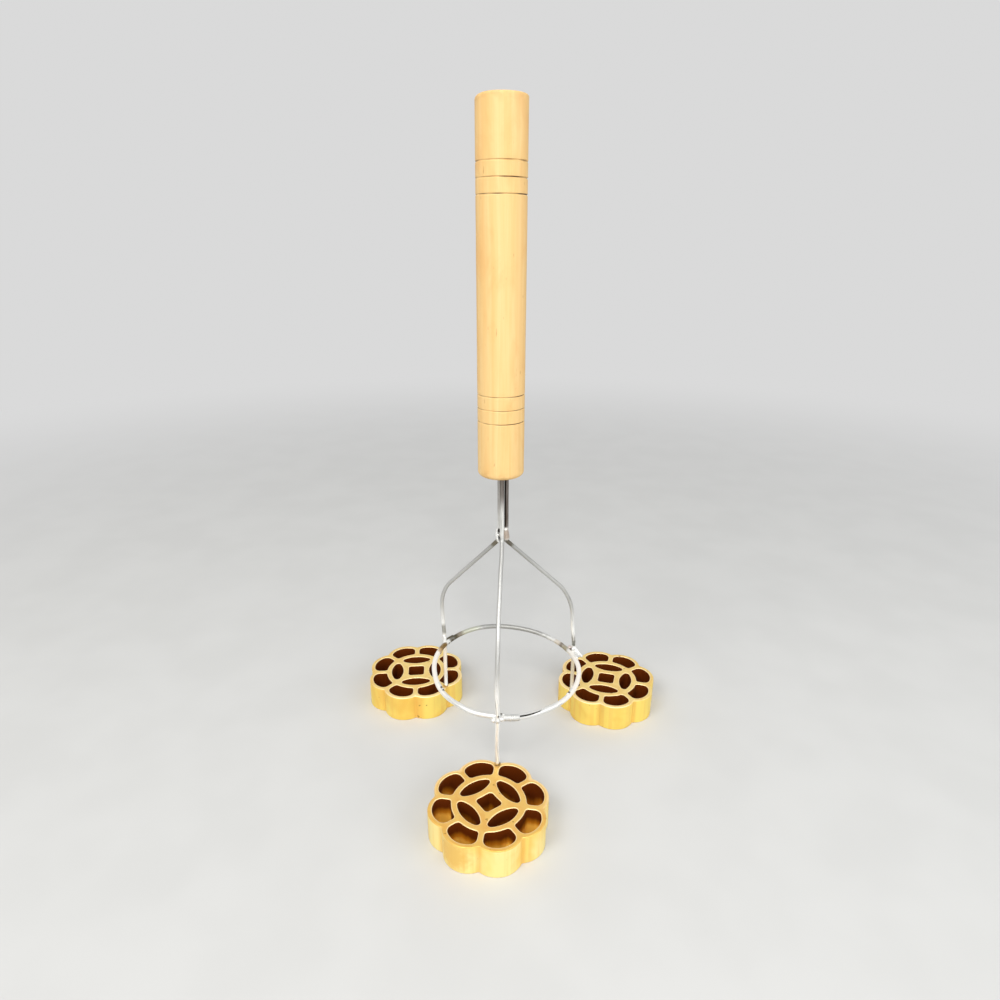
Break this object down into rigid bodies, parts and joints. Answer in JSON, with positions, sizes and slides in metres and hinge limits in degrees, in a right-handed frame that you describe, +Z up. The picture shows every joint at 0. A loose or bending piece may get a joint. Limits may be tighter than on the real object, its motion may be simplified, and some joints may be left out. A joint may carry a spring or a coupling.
{
  "type": "rosette iron",
  "caption": "Rosette iron: pierced flower-shaped brass moulds on a bent wire frame with a hoop, under a long turned wooden handle.",
  "frame": {"origin": "middle of the object's box on the surface that the moulds stand on", "axes": "+Z up along the handle, -Y towards the front mould, +X to the right mould's side"},
  "size_m": [0.1926, 0.18, 0.354],
  "materials": {
    "wood": "bare turned wood, lightly waxed",
    "steel_wire": "drawn bright wire, slightly dulled",
    "weld": "lumpy weld metal with brown heat tint",
    "brass": "cast and ground, satin, darker inside the cells",
    "brazing": "dull brown brazing residue"
  },
  "bodies": {
    "root": {"braze_front": "brazing", "braze_left": "brazing", "braze_right": "brazing", "handle": "wood", "hoop": "steel_wire", "hoop_seam_weld": "weld", "hoop_weld_front": "weld", "hoop_weld_left": "weld", "hoop_weld_right": "weld", "leg_front": "steel_wire", "leg_left": "steel_wire", "leg_right": "steel_wire", "mould_front": "brass", "mould_left": "brass", "mould_right": "brass", "spot_weld_left": "weld", "spot_weld_right": "weld", "tang_weld": "weld"}
  },
  "joints": []
}
